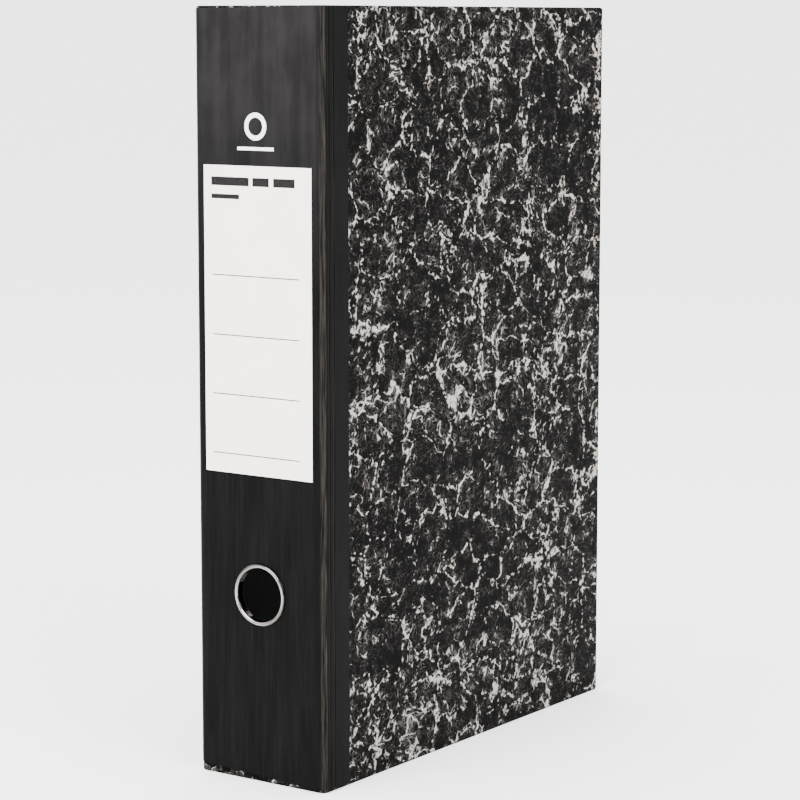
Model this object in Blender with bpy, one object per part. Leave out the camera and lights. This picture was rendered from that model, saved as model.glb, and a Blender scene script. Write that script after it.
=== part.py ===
"""Lever arch file for foolscap sheets: a creased, cloth-backed board case with a lever arch mechanism.

Metres, +Z up. The closed file stands on its lower edges. X is its thickness (back cover at -X, front
cover at +X) and Y its depth (spine at -Y, open edge at +Y).
"""

import math

import bmesh
import bpy
from mathutils import Matrix, Vector

MM = 0.001

# Case
HEIGHT = 360.0
DEPTH = 242.0
THICKNESS = 74.0
CLOTH = 0.25
PAPER = 0.25
BOARD = 2.15
LINING = 0.25
LAYER_GAP = 0.03
CORNER_RADIUS = 3.4
SPINE_HINGE_START = 3.6
COVER_HINGE_END = 9.0
SEAM = 0.06
BOARD_CORNER = 1.4
TURN_IN = 4.0
CLOTH_END_GAP = 2.5
CLOTH_ON_COVER = 19.5
LINING_GAP = 0.1
LINING_CORNER = 0.5
CUT_CORNER = 0.1
CREASES_IN_BEND = (math.radians(36), math.radians(62))
CREASES_ON_COVER = (4.9, 8.3)
CREASE_DEPTH = 0.35
CREASE_HALF_WIDTH = 0.55

# Finger hole and its ring, on the spine
FINGER_Z = 89.0
FINGER_HOLE = 13.6
RING_OUTER = 14.75
RING_BORE = 12.6
RING_PROUD = 1.15
RING_GAP = 0.25

# Label on the spine
LABEL_FROM_BACK = 5.8
LABEL_WIDTH = 62.0
LABEL_LOW = 145.0
LABEL_HIGH = 287.5
LABEL_THICK = 0.15
LABEL_CORNER = 0.25

# Rivets
RIVET_Z = (113.0, 247.0)
RIVET_V = (28.0, 54.0)
RIVET_RADIUS = 2.0
RIVET_HEAD = 4.5
RIVET_PROUD = 0.5
RIVET_CLINCH = 3.4
RIVET_HOLE = 2.3

# Mechanism: u is height above the back cover's lining, v is distance from the spine's outer face
MIDDLE_Z = 180.0
POST_SPACING = 80.0
POST_V = 49.0
POST_TOP = 48.0
POST_RADIUS = 2.4
PLATE_THICK = 1.2
PLATE_V = (13.0, 60.0)
PLATE_Z = (105.0, 255.0)
SHAFT_V = 21.0
SHAFT_U = 7.0
WIRE_RADIUS = 1.75
BEARING_Z = (164.0, 185.0)
BEARING_THICK = 2.0
PIVOT_Z = 213.0
PIVOT_U = 16.0
PIVOT_RADIUS = 1.5
LEVER_TILT = math.radians(-7.5)
LEVER_LENGTH = 68.0
ROLLER_ARM = 6.2
ROLLER_RADIUS = 3.8
ROLLER_PIN = 1.0
ROLLER_PLAY = 0.1
LEVER_V = (25.4, 34.6)
LEVER_SHEET = 1.0
GRIP_HALF = (5.8, 6.6)
FORK_GAP = 0.4
FORK_THICK = 1.2
RUNNING = 0.3
ARCH_CORNERS = ((22.6, 41.0), (28.5, 59.2), (POST_V, 60.4), (POST_V, POST_TOP + 0.4))
TONGUE_TOP = 11.1
TONGUE_Z = (PIVOT_Z - 9.4, PIVOT_Z - 4.3)
COMPRESSOR_U = (5.6, 6.8)
COMPRESSOR_HALF = 62.0
COMPRESSOR_WIDTH = 7.6
RIB = 1.0

# The outermost faces are the rivet heads and the finger ring, so the case is shifted to centre the whole
BACK_X = -(THICKNESS + RIVET_PROUD) / 2 + RIVET_PROUD
SPINE_Y = -(DEPTH + RING_PROUD) / 2 + RING_PROUD
WALL = CLOTH + PAPER + BOARD + LINING + 3 * LAYER_GAP
INNER_X = BACK_X + WALL


def remove_everything():
    for item in list(bpy.data.objects):
        bpy.data.objects.remove(item, do_unlink=True)


def material(name, colour, roughness, metallic=0.0):
    made = bpy.data.materials.new(name)
    made.use_nodes = True
    shader = made.node_tree.nodes["Principled BSDF"]
    shader.inputs["Base Color"].default_value = (*colour, 1.0)
    shader.inputs["Roughness"].default_value = roughness
    shader.inputs["Metallic"].default_value = metallic
    made.diffuse_color = (*colour, 1.0)
    return made


LOOKS = {
    "marbled_paper": ((0.16, 0.15, 0.14), 0.5, 0.0),
    "black_cloth": ((0.03, 0.03, 0.03), 0.6, 0.0),
    "greyboard": ((0.36, 0.34, 0.31), 0.9, 0.0),
    "lining_paper": ((0.035, 0.035, 0.037), 0.85, 0.0),
    "label_paper": ((0.86, 0.85, 0.82), 0.8, 0.0),
    "nickel": ((0.72, 0.71, 0.69), 0.25, 1.0),
    "bright_steel": ((0.62, 0.62, 0.62), 0.35, 1.0),
    "black_plastic": ((0.02, 0.02, 0.02), 0.4, 0.0),
}


def finish(name, mesh, look):
    made = bpy.data.objects.new(name, mesh)
    bpy.context.collection.objects.link(made)
    mesh.materials.clear()
    mesh.materials.append(material(name, *LOOKS[look]))
    return made


def mesh_from(name, bm, flat=False):
    bmesh.ops.recalc_face_normals(bm, faces=bm.faces)
    mesh = bpy.data.meshes.new(name)
    bm.to_mesh(mesh)
    bm.free()
    if not flat:
        mesh.shade_smooth()
        mesh.set_sharp_from_angle(angle=math.radians(32))
    return mesh


def world(u, v, z):
    """A point of the mechanism, given in millimetres, in the file's own frame."""
    return Vector(((INNER_X + u) * MM, (SPINE_Y + v) * MM, z * MM))


def case(across, deep, z):
    """A point of the case: across from the back cover's outer face, deep from the spine's outer face."""
    return Vector(((BACK_X + across) * MM, (SPINE_Y + deep) * MM, z * MM))


def prism(rings):
    """A closed solid through rings of points, with flat ends."""
    bm = bmesh.new()
    rows = [[bm.verts.new(point) for point in ring] for ring in rings]
    count = len(rows[0])
    for lower, upper in zip(rows, rows[1:]):
        for i in range(count):
            j = (i + 1) % count
            bm.faces.new((lower[i], lower[j], upper[j], upper[i]))
    bm.faces.new(list(reversed(rows[0])))
    bm.faces.new(rows[-1])
    return bm


def box(place, a, b, c):
    """A box in the coordinates of place, between the pairs of limits a, b and c."""
    ring = [(a[0], b[0]), (a[1], b[0]), (a[1], b[1]), (a[0], b[1])]
    return prism([[place(p, q, height) for p, q in ring] for height in c])


def rounded_rectangle(low, high, radius, steps=4):
    corners = [(high[0] - radius, high[1] - radius, 0), (low[0] + radius, high[1] - radius, 1),
               (low[0] + radius, low[1] + radius, 2), (high[0] - radius, low[1] + radius, 3)]
    points = []
    for x, y, quarter in corners:
        for i in range(steps + 1):
            turn = math.pi / 2 * (quarter + i / steps)
            points.append((x + radius * math.cos(turn), y + radius * math.sin(turn)))
    return points


def circle(middle, radius, steps=28):
    return [(middle[0] + radius * math.cos(2 * math.pi * i / steps),
             middle[1] + radius * math.sin(2 * math.pi * i / steps)) for i in range(steps)]


def temporary(bm):
    """A cutter or a joined shape that only a Boolean uses."""
    made = bpy.data.objects.new("cutter", mesh_from("cutter", bm, flat=True))
    bpy.context.collection.objects.link(made)
    made.hide_render = True
    made.display_type = "WIRE"
    return made


def combine(bm, cutters=(), joined=()):
    """A mesh with other shapes cut from it and joined to it."""
    base = temporary(bm)
    base.hide_render = False
    helpers = []
    for operation, shapes in (("UNION", joined), ("DIFFERENCE", cutters)):
        for shape in shapes:
            helper = temporary(shape)
            helpers.append(helper)
            change = base.modifiers.new("shape", "BOOLEAN")
            change.operation = operation
            change.solver = "EXACT"
            change.object = helper
    bpy.context.view_layer.update()
    evaluated = base.evaluated_get(bpy.context.evaluated_depsgraph_get())
    result = bpy.data.meshes.new_from_object(evaluated)
    for item in [base, *helpers]:
        bpy.data.objects.remove(item, do_unlink=True)
    result.shade_smooth()
    result.set_sharp_from_angle(angle=math.radians(32))
    return result


def cover_point(front):
    """Coordinates of a cover: deep from the spine, z, and inward from the outer face of the cloth."""
    def place(deep, z, inward):
        across = THICKNESS - inward if front else inward
        return case(across, deep, z)
    return place


def spine_point(across, z, inward):
    return case(across, inward, z)


def slab(place, low, high, radius, inward):
    """A flat sheet with rounded corners, between two depths below the cloth's outer face."""
    outline = rounded_rectangle(low, high, radius)
    return prism([[place(a, b, depth) for a, b in outline] for depth in inward])


def rod(place, middle, radius, span, steps=28):
    """A round bar along the third coordinate of place."""
    outline = circle(middle, radius, steps)
    return prism([[place(a, b, depth) for a, b in outline] for depth in span])


PAPER_IN = (CLOTH + LAYER_GAP, CLOTH + LAYER_GAP + PAPER)
BOARD_IN = (PAPER_IN[1] + LAYER_GAP, PAPER_IN[1] + LAYER_GAP + BOARD)
LINING_IN = (BOARD_IN[1] + LAYER_GAP, WALL)
EDGE = PAPER + LAYER_GAP


def wrapped_paper(place, low, high, open_low, open_high, holes=()):
    """Paper over a board's outer face, turned in over every edge except the open ones."""
    reach = 30.0
    shell = slab(place, low, high, BOARD_CORNER, (PAPER_IN[0], WALL))
    inside_low = [low[0] - reach if open_low else low[0] + PAPER, low[1] + PAPER]
    inside_high = [high[0] + reach if open_high else high[0] - PAPER, high[1] - PAPER]
    cavity = slab(place, inside_low, inside_high, BOARD_CORNER - PAPER, (PAPER_IN[1], LINING_IN[0]))
    window_low = [low[0] - reach if open_low else low[0] + TURN_IN, low[1] + TURN_IN]
    window_high = [high[0] + reach if open_high else high[0] - TURN_IN, high[1] - TURN_IN]
    window = slab(place, window_low, window_high, LINING_CORNER, (BOARD_IN[1] - 0.5, WALL + 3.0))
    return combine(shell, [cavity, window, *holes])


def lever_rivets():
    return [(v, z) for z in RIVET_Z for v in RIVET_V]


def rivet_holes(place):
    return [rod(place, (v, z), RIVET_HOLE, (-2.0, WALL + 2.0), 20) for v, z in lever_rivets()]


def make_cover(name, front):
    place = cover_point(front)
    start = COVER_HINGE_END + SEAM

    def holes():
        return [] if front else rivet_holes(place)

    low = (start, 0.0)
    high = (DEPTH, HEIGHT)
    finish(name + "_paper", wrapped_paper(place, low, high, True, False, holes()), "marbled_paper")
    board = slab(place, (start, EDGE), (DEPTH - EDGE, HEIGHT - EDGE), BOARD_CORNER - EDGE, BOARD_IN)
    finish(name + "_board", combine(board, holes()), "greyboard")
    inset = TURN_IN + LINING_GAP
    lining = slab(place, (start, inset), (DEPTH - inset, HEIGHT - inset), LINING_CORNER, LINING_IN)
    finish(name + "_lining", combine(lining, holes()), "lining_paper")
    low = (start, CLOTH_END_GAP)
    high = (CLOTH_ON_COVER, HEIGHT - CLOTH_END_GAP)
    cloth = slab(place, low, high, CUT_CORNER, (0.0, CLOTH))
    finish(name + "_cloth", mesh_from(name + "_cloth", cloth), "black_cloth")


def make_spine():
    start = SPINE_HINGE_START + SEAM
    end = THICKNESS - start
    middle = (THICKNESS / 2, FINGER_Z)

    def finger_hole():
        return [rod(spine_point, middle, FINGER_HOLE, (-3.0, WALL + 3.0), 48)]

    paper = wrapped_paper(spine_point, (start, 0.0), (end, HEIGHT), True, True, finger_hole())
    finish("spine_paper", paper, "marbled_paper")
    board = slab(spine_point, (start, EDGE), (end, HEIGHT - EDGE), 0.3, BOARD_IN)
    finish("spine_board", combine(board, finger_hole()), "greyboard")
    inset = TURN_IN + LINING_GAP
    lining = slab(spine_point, (start, inset), (end, HEIGHT - inset), CUT_CORNER, LINING_IN)
    finish("spine_lining", combine(lining, finger_hole()), "lining_paper")
    cloth = slab(spine_point, (start, CLOTH_END_GAP), (end, HEIGHT - CLOTH_END_GAP), CUT_CORNER, (0.0, CLOTH))
    finish("spine_cloth", combine(cloth, finger_hole()), "black_cloth")
    low = (LABEL_FROM_BACK, LABEL_LOW)
    high = (LABEL_FROM_BACK + LABEL_WIDTH, LABEL_HIGH)
    label = slab(spine_point, low, high, LABEL_CORNER, (-LABEL_THICK - LAYER_GAP, -LAYER_GAP))
    finish("spine_label", mesh_from("spine_label", label), "label_paper")


def turned(profile, middle, steps=48):
    """A ring with its axis along the spine's normal, from a closed profile of radius and depth."""
    bm = bmesh.new()
    rows = []
    for i in range(steps):
        turn = 2 * math.pi * i / steps
        c, s = math.cos(turn), math.sin(turn)
        rows.append([bm.verts.new(spine_point(middle[0] + r * c, middle[1] + r * s, d)) for r, d in profile])
    count = len(profile)
    for i in range(steps):
        for k in range(count):
            here, after = rows[i], rows[(i + 1) % steps]
            bm.faces.new((here[k], here[(k + 1) % count], after[(k + 1) % count], after[k]))
    return bm


def make_finger_ring():
    middle = (THICKNESS / 2, FINGER_Z)
    gap = LAYER_GAP * 2
    front = [(RING_OUTER, -gap)]
    for i in range(7):
        turn = math.pi * (0.06 + 0.88 * i / 6)
        across = (RING_OUTER + RING_BORE) / 2
        half = (RING_OUTER - RING_BORE) / 2
        front.append((across + half * math.cos(turn), -gap - (RING_PROUD - gap) * math.sin(turn)))
    front.append((RING_BORE, 0.2))
    front.append((RING_BORE, WALL - 0.6))
    front.append((RING_BORE + 0.45, WALL - 0.6))
    front.append((RING_BORE + 0.45, -gap))
    finish("finger_ring_front", mesh_from("ring", turned(front, middle)), "nickel")
    inner = RING_BORE + 0.45 + RING_GAP
    low = WALL + gap
    back = [(inner, WALL - 0.3), (FINGER_HOLE - 0.15, WALL - 0.3), (FINGER_HOLE - 0.15, low),
            (RING_OUTER, low), (RING_OUTER - 0.2, low + 0.35), (RING_OUTER - 0.9, low + 0.7),
            (inner + 0.3, low + 0.7), (inner, low + 0.4)]
    finish("finger_ring_back", mesh_from("ring", turned(back, middle)), "nickel")


def hinge_path():
    """Points, inward normals and crease depths along a hinge's outer face, from spine to cover."""
    straight = SPINE_HINGE_START - CORNER_RADIUS
    arc = CORNER_RADIUS * math.pi / 2
    total = straight + arc + COVER_HINGE_END - CORNER_RADIUS
    creases = [straight + CORNER_RADIUS * turn for turn in CREASES_IN_BEND]
    creases += [straight + arc + deep - CORNER_RADIUS for deep in CREASES_ON_COVER]
    stops = {0.0, total}
    stops.update(straight + arc * i / 8 for i in range(9))
    for crease in creases:
        stops.update((crease - CREASE_HALF_WIDTH, crease, crease + CREASE_HALF_WIDTH))
    path = []
    for s in sorted(stops):
        turn = min(max((s - straight) / CORNER_RADIUS, 0.0), math.pi / 2)
        before = max(straight - s, 0.0)
        beyond = max(s - straight - arc, 0.0)
        point = (before + CORNER_RADIUS * (1 - math.sin(turn)),
                 beyond + CORNER_RADIUS * (1 - math.cos(turn)))
        inward = (math.sin(turn), math.cos(turn))
        nearest = min(abs(s - crease) for crease in creases)
        path.append((point, inward, CREASE_DEPTH * max(0.0, 1 - nearest / CREASE_HALF_WIDTH)))
    return path


def hinge_layer(front, low, high, inward, dips):
    """One layer of a hinge between two heights; dips says whether its outer and inner faces are creased."""
    path = hinge_path()
    outer = []
    inner = []
    for (a, d), (na, nd), dip in path:
        for line, depth, dipped in ((outer, inward[0], dips[0]), (inner, inward[1], dips[1])):
            depth = depth + (dip if dipped else 0.0)
            line.append((a + na * depth, d + nd * depth))
    outline = outer + list(reversed(inner))

    def place(a, d, z):
        return case(THICKNESS - a if front else a, d, z)

    return prism([[place(a, d, z) for a, d in outline] for z in (low, high)])


def make_hinge(name, front):
    layers = (
        ("_cloth", CLOTH_END_GAP, (0.0, CLOTH), (True, True), "black_cloth"),
        ("_paper", 0.0, PAPER_IN, (True, True), "marbled_paper"),
        ("_board", EDGE, BOARD_IN, (True, False), "greyboard"),
        ("_lining", TURN_IN, LINING_IN, (False, False), "lining_paper"),
    )
    for suffix, end, inward, dips, look in layers:
        bm = hinge_layer(front, end, HEIGHT - end, inward, dips)
        finish(name + suffix, mesh_from(name + suffix, bm), look)


def swept(points, radius, steps=12, tips=()):
    """A round wire along a smooth line of points; tips gives end radii and lengths of a taper."""
    rings = []
    first = (points[1] - points[0]).normalized()
    reference = Vector((1.0, 0.0, 0.0)) if abs(first.y) > 0.7 else Vector((0.0, 1.0, 0.0))
    count = len(points)
    previous = None
    for i, point in enumerate(points):
        before = points[max(0, i - 1)]
        after = points[min(count - 1, i + 1)]
        along = (after - before).normalized()
        if previous is None:
            side = reference - along * reference.dot(along)
        else:
            side = previous - along * previous.dot(along)
        side.normalize()
        previous = side
        other = along.cross(side)
        size = tips.get(i, radius) if tips else radius
        rings.append([point + (side * math.cos(2 * math.pi * k / steps)
                               + other * math.sin(2 * math.pi * k / steps)) * size * MM
                      for k in range(steps)])
    return prism(rings)


def rounded_line(corners, radius, steps=5):
    """A line through corner points with each inner corner replaced by an arc-like curve."""
    made = [corners[0]]
    for before, corner, after in zip(corners, corners[1:], corners[2:]):
        reach = min(radius * MM, (corner - before).length * 0.49, (after - corner).length * 0.49)
        start = corner + (before - corner).normalized() * reach
        end = corner + (after - corner).normalized() * reach
        for i in range(steps + 1):
            t = i / steps
            made.append(start * (1 - t) ** 2 + corner * 2 * t * (1 - t) + end * t ** 2)
    made.append(corners[-1])
    return made


def make_arches():
    """Shaft and both arches, bent from one wire, tapered where they meet the posts."""
    low_z = MIDDLE_Z - POST_SPACING / 2
    high_z = MIDDLE_Z + POST_SPACING / 2
    down = [world(u, v, high_z) for v, u in ARCH_CORNERS]
    up = [world(u, v, low_z) for v, u in ARCH_CORNERS]
    corners = up[::-1] + [world(SHAFT_U, SHAFT_V, low_z), world(SHAFT_U, SHAFT_V, high_z)] + down
    line = rounded_line(corners, 12.0)
    bend = rounded_line(corners, 5.0)
    shaft = [p for p in bend if abs(p.x - world(SHAFT_U, 0, 0).x) < 6.0 * MM]
    arch_low = [p for p in line if p.z < low_z * MM + 1e-6 and p.x > world(14.0, 0, 0).x]
    arch_high = [p for p in line if p.z > high_z * MM - 1e-6 and p.x > world(14.0, 0, 0).x]
    whole = arch_low + shaft + arch_high
    tip = [whole[0], whole[0] + (whole[1] - whole[0]).normalized() * 2.2 * MM]
    end = [whole[-1] + (whole[-2] - whole[-1]).normalized() * 2.2 * MM, whole[-1]]
    whole = tip + whole[1:-1] + end
    sizes = {0: WIRE_RADIUS * 0.6, len(whole) - 1: WIRE_RADIUS * 0.6}
    finish("arch_wire", mesh_from("arch_wire", swept(whole, WIRE_RADIUS, 12, sizes)), "nickel")


def along_v(u, z, v):
    """Coordinates for shapes whose length runs from the spine towards the open edge."""
    return world(u, v, z)


def along_z(u, v, z):
    return world(u, v, z)


def along_u(v, z, u):
    return world(u, v, z)


def make_base_plate():
    outline = slab(along_u, (PLATE_V[0], PLATE_Z[0]), (PLATE_V[1], PLATE_Z[1]), 6.0, (0.05, PLATE_THICK))
    joined = []
    for z in BEARING_Z:
        span = (z - BEARING_THICK / 2, z + BEARING_THICK / 2)
        ear = [(0.4, SHAFT_V - 4.5), (0.4, SHAFT_V + 4.5), (SHAFT_U, SHAFT_V + 3.9)]
        ear += [(SHAFT_U + 3.9 * math.sin(math.pi * i / 8), SHAFT_V + 3.9 * math.cos(math.pi * i / 8))
                for i in range(1, 8)]
        ear += [(SHAFT_U, SHAFT_V - 3.9)]
        joined.append(prism([[along_z(u, v, height) for u, v in ear] for height in span]))
    fork_low = LEVER_V[0] - FORK_GAP - FORK_THICK
    fork_high = LEVER_V[1] + FORK_GAP
    for v in (fork_low, fork_high):
        fork = [(0.4, PIVOT_Z - 3.9), (0.4, PIVOT_Z + 4.4), (PIVOT_U, PIVOT_Z + 3.6)]
        fork += [(PIVOT_U + 3.6 * math.sin(math.pi * i / 8), PIVOT_Z + 3.6 * math.cos(math.pi * i / 8))
                 for i in range(1, 8)]
        fork += [(PIVOT_U, PIVOT_Z - 3.6)]
        joined.append(prism([[along_v(u, z, w) for u, z in fork] for w in (v, v + FORK_THICK)]))
    for z in RIVET_Z:
        for direction in (-1, 1):
            middle = z + direction * 5.6
            low, high = (middle - 1.0, middle + 1.0)
            joined.append(box(along_u, (20.0, 54.0), (low, high), (PLATE_THICK - 0.4, PLATE_THICK + 0.8)))
    shaft, pivot = (SHAFT_U, SHAFT_V), (PIVOT_U, PIVOT_Z)
    across_fork = (fork_low - 3, fork_high + 5)
    cutters = [rod(along_z, shaft, WIRE_RADIUS + RUNNING, (z - 4, z + 4), 20) for z in BEARING_Z]
    cutters.append(rod(along_v, pivot, PIVOT_RADIUS + RUNNING / 2, across_fork, 20))
    cutters += [rod(along_u, spot, RIVET_HOLE, (-2, 4), 20) for spot in lever_rivets()]
    for direction in (-1, 1):
        z = MIDDLE_Z + direction * POST_SPACING / 2
        cutters.append(rod(along_u, (POST_V, z), POST_RADIUS - 0.5, (-2, 4), 20))
    finish("mechanism_base_plate", combine(outline, cutters, joined), "bright_steel")


def lathe(place, middle, profile, steps=24):
    """A round piece from (height, radius) pairs along the third coordinate of place."""
    rings = []
    for height, radius in profile:
        rings.append([place(a, b, height) for a, b in circle(middle, radius, steps)])
    return prism(rings)


def make_posts():
    for name, direction in (("lower_post", -1), ("upper_post", 1)):
        z = MIDDLE_Z + direction * POST_SPACING / 2
        low = PLATE_THICK + 0.05
        profile = [(0.1, POST_RADIUS - 0.8), (low, POST_RADIUS - 0.8), (low, POST_RADIUS + 1.6),
                   (low + 0.8, POST_RADIUS + 1.4), (low + 1.4, POST_RADIUS), (POST_TOP - 3.0, POST_RADIUS),
                   (POST_TOP - 0.8, POST_RADIUS - 0.7), (POST_TOP, POST_RADIUS - 1.2)]
        finish(name, mesh_from(name, lathe(along_u, (POST_V, z), profile)), "nickel")


def make_rivets():
    outer = -WALL + PAPER_IN[0]
    for i, spot in enumerate(lever_rivets()):
        top = PLATE_THICK + 0.05
        low = outer - 0.05
        proud = -WALL - RIVET_PROUD
        profile = [(proud, RIVET_HEAD - 0.9), (proud + 0.25, RIVET_HEAD - 0.2), (low - 0.1, RIVET_HEAD),
                   (low, RIVET_HEAD), (low, RIVET_RADIUS), (top, RIVET_RADIUS), (top, RIVET_CLINCH),
                   (top + 0.5, RIVET_CLINCH - 0.3), (top + 0.8, RIVET_CLINCH - 1.1), (top + 0.45, 1.0)]
        name = "rivet_" + str(i + 1)
        finish(name, mesh_from(name, lathe(along_u, spot, profile, 20)), "nickel")


def lever_frame(distance, offset):
    """u and z at a distance from the pivot towards the grip, and an offset above the lever's line."""
    c, s = math.cos(LEVER_TILT), math.sin(LEVER_TILT)
    return PIVOT_U + distance * s + offset * c, PIVOT_Z - distance * c + offset * s


def lever_place(distance, offset, v):
    u, z = lever_frame(distance, offset)
    return world(u, v, z)


def lever_along(distance, v, offset):
    return lever_place(distance, offset, v)


def make_lever():
    side = [(-3.4, -2.2), (-1.6, -3.4), (2.0, -3.4), (5.0, -2.6), (11.0, -2.6), (16.0, -3.4),
            (LEVER_LENGTH - 9.0, -2.6), (LEVER_LENGTH - 9.0, 3.2), (16.0, 5.5), (-1.0, 5.5), (-3.4, 3.2)]
    body = prism([[lever_place(d, o, v) for d, o in side] for v in LEVER_V])
    under = ((-9.0, -9.0), (LEVER_LENGTH, -9.0), (LEVER_LENGTH, 2.2), (LEVER_LENGTH - 9.0, 2.2),
             (16.0, 4.5), (-9.0, 4.5))
    walls = (LEVER_V[0] + LEVER_SHEET, LEVER_V[1] - LEVER_SHEET)
    hollow = prism([[lever_place(d, o, v) for d, o in under] for v in walls])
    stem_low, stem_high = (LEVER_V[0] + 0.4, LEVER_V[1] - 0.4)
    stem_side = ((LEVER_LENGTH - 14.0, 1.2), (LEVER_LENGTH - 3.0, 1.2), (LEVER_LENGTH - 3.0, 2.2),
                 (LEVER_LENGTH - 9.0, 2.5), (LEVER_LENGTH - 14.0, 2.6))
    stem = prism([[lever_place(d, o, v) for d, o in stem_side] for v in (stem_low, stem_high)])
    through = (LEVER_V[0] - 2, LEVER_V[1] + 2)
    cutters = [
        rod(lever_place, (0.0, 0.0), PIVOT_RADIUS + RUNNING / 2, through, 20),
        rod(lever_place, (ROLLER_ARM, 0.0), ROLLER_PIN + ROLLER_PLAY, through, 16),
    ]
    mesh = combine(body, [hollow], [])
    bm = bmesh.new()
    bm.from_mesh(mesh)
    finish("lever_arm", combine(bm, cutters, [stem]), "nickel")
    middle = (LEVER_V[0] + LEVER_V[1]) / 2
    centre = (LEVER_LENGTH - 2.8, middle)
    grip_low = (centre[0] - GRIP_HALF[0], centre[1] - GRIP_HALF[1])
    grip_high = (centre[0] + GRIP_HALF[0], centre[1] + GRIP_HALF[1])
    grip_outline = rounded_rectangle(grip_low, grip_high, 4.0, 5)
    levels = ((-1.4, 0.78), (-0.7, 0.94), (0.4, 1.0), (2.8, 1.0), (4.0, 0.94), (4.8, 0.78))
    rings = [[lever_along(centre[0] + (d - centre[0]) * k, centre[1] + (v - centre[1]) * k, o)
              for d, v in grip_outline] for o, k in levels]
    slot_width = (stem_low - 0.15, stem_high + 0.15)
    slot = box(lever_along, (LEVER_LENGTH - 30.0, centre[0]), slot_width, (1.05, 2.75))
    finish("lever_grip", combine(prism(rings), [slot]), "black_plastic")
    pin_span = (LEVER_V[0] - 0.25, LEVER_V[1] + 0.25)
    pin = rod(lever_place, (ROLLER_ARM, 0.0), ROLLER_PIN, pin_span, 16)
    finish("roller_pin", mesh_from("pin", pin), "bright_steel")
    inner = (LEVER_V[0] + LEVER_SHEET + 0.3, LEVER_V[1] - LEVER_SHEET - 0.3)
    wheel = lathe(lever_place, (ROLLER_ARM, 0.0),
                  ((inner[0], ROLLER_RADIUS - 0.3), (inner[0] + 0.3, ROLLER_RADIUS),
                   (inner[1] - 0.3, ROLLER_RADIUS), (inner[1], ROLLER_RADIUS - 0.3)), 28)
    bore = rod(lever_place, (ROLLER_ARM, 0.0), ROLLER_PIN + ROLLER_PLAY, (inner[0] - 2, inner[1] + 2), 16)
    finish("lever_roller", combine(wheel, [bore]), "bright_steel")


def make_pivot_pin():
    low = LEVER_V[0] - FORK_GAP - FORK_THICK - 0.1
    high = LEVER_V[1] + FORK_GAP + FORK_THICK + 0.1
    profile = [(low - 0.6, 1.9), (low - 0.3, 2.3), (low, 2.3), (low, PIVOT_RADIUS), (high, PIVOT_RADIUS),
               (high, 2.3), (high + 0.5, 2.1), (high + 0.8, 1.5)]
    pin = lathe(along_v, (PIVOT_U, PIVOT_Z), profile, 20)
    finish("lever_pivot_pin", mesh_from("pin", pin), "bright_steel")


def make_crank_plate():
    """A clamp pressed on the shaft, with a tongue that the lever's roller holds down."""
    hub = circle((SHAFT_U, SHAFT_V), 3.1, 24)
    body = prism([[along_z(u, v, z) for u, v in hub] for z in TONGUE_Z])
    tongue = [(TONGUE_TOP - 1.4, SHAFT_V - 0.6), (TONGUE_TOP - 1.4, LEVER_V[1] - 1.6),
              (TONGUE_TOP - 0.2, LEVER_V[1] - 1.4), (TONGUE_TOP, LEVER_V[1] - 1.8),
              (TONGUE_TOP, SHAFT_V + 1.4), (SHAFT_U + 2.4, SHAFT_V - 1.8)]
    arm = prism([[along_z(u, v, z) for u, v in tongue] for z in TONGUE_Z])
    bore = rod(along_z, (SHAFT_U, SHAFT_V), WIRE_RADIUS + 0.05, (TONGUE_Z[0] - 2, TONGUE_Z[1] + 2), 24)
    finish("arch_crank_plate", combine(body, [bore], [arm]), "bright_steel")


def make_spring():
    """A torsion spring round the shaft: one leg under the crank tongue, the other on the plate."""
    radius = 3.0
    wire = 0.45
    turns = 6
    start = TONGUE_Z[0] - 4.4
    pitch = 1.25
    leg = PLATE_THICK + 0.7
    points = [world(leg, SHAFT_V + 6.5, start), world(leg, SHAFT_V + 1.5, start)]
    steps = 12
    for i in range(turns * steps + steps // 2):
        turn = -math.pi / 2 * 1.4 - 2 * math.pi * i / steps
        points.append(world(SHAFT_U + radius * math.sin(turn + math.pi / 2 * 0.4),
                            SHAFT_V + radius * math.cos(turn + math.pi / 2 * 0.4),
                            start - pitch * i / steps))
    end = points[-1]
    points.append(end + Vector((0.0, 3.0 * MM, 0.0)))
    finish("arch_spring", mesh_from("arch_spring", swept(points, wire, 6)), "bright_steel")


def make_compressor():
    low = (POST_V - COMPRESSOR_WIDTH, MIDDLE_Z - COMPRESSOR_HALF)
    high = (POST_V + COMPRESSOR_WIDTH, MIDDLE_Z + COMPRESSOR_HALF)
    plate = slab(along_u, low, high, 5.0, COMPRESSOR_U)
    rib_z = (low[1] + 6.0, high[1] - 6.0)
    rib_u = (COMPRESSOR_U[0] + 0.3, COMPRESSOR_U[1] + 2.2)
    ribs = [box(along_u, (v, v + RIB), rib_z, rib_u) for v in (low[0], high[0] - RIB)]
    posts = [MIDDLE_Z + direction * POST_SPACING / 2 for direction in (-1, 1)]
    through = (COMPRESSOR_U[0] - 3, COMPRESSOR_U[1] + 3)
    cutters = [rod(along_u, (POST_V, z), POST_RADIUS + RUNNING, through, 24) for z in posts]
    finish("compressor_bar", combine(plate, cutters, ribs), "nickel")
    clips = (("lower_compressor_clip", posts[0], -1), ("upper_compressor_clip", posts[1], 1))
    for name, z, outward in clips:
        top = COMPRESSOR_U[1] + 0.06
        span = sorted((z - outward * 5.5, z + outward * 13.0))
        pad = slab(along_u, (POST_V - 5.4, span[0]), (POST_V + 5.4, span[1]), 2.4, (top, top + 0.7))
        tab_z = sorted((z + outward * 11.5, z + outward * 12.3))
        tab = box(along_u, (POST_V - 4.4, POST_V + 4.4), tuple(tab_z), (top + 0.3, top + 6.5))
        hole = rod(along_u, (POST_V, z), POST_RADIUS + RUNNING, (top - 3, top + 3), 24)
        finish(name, combine(pad, [hole], [tab]), "bright_steel")


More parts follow.
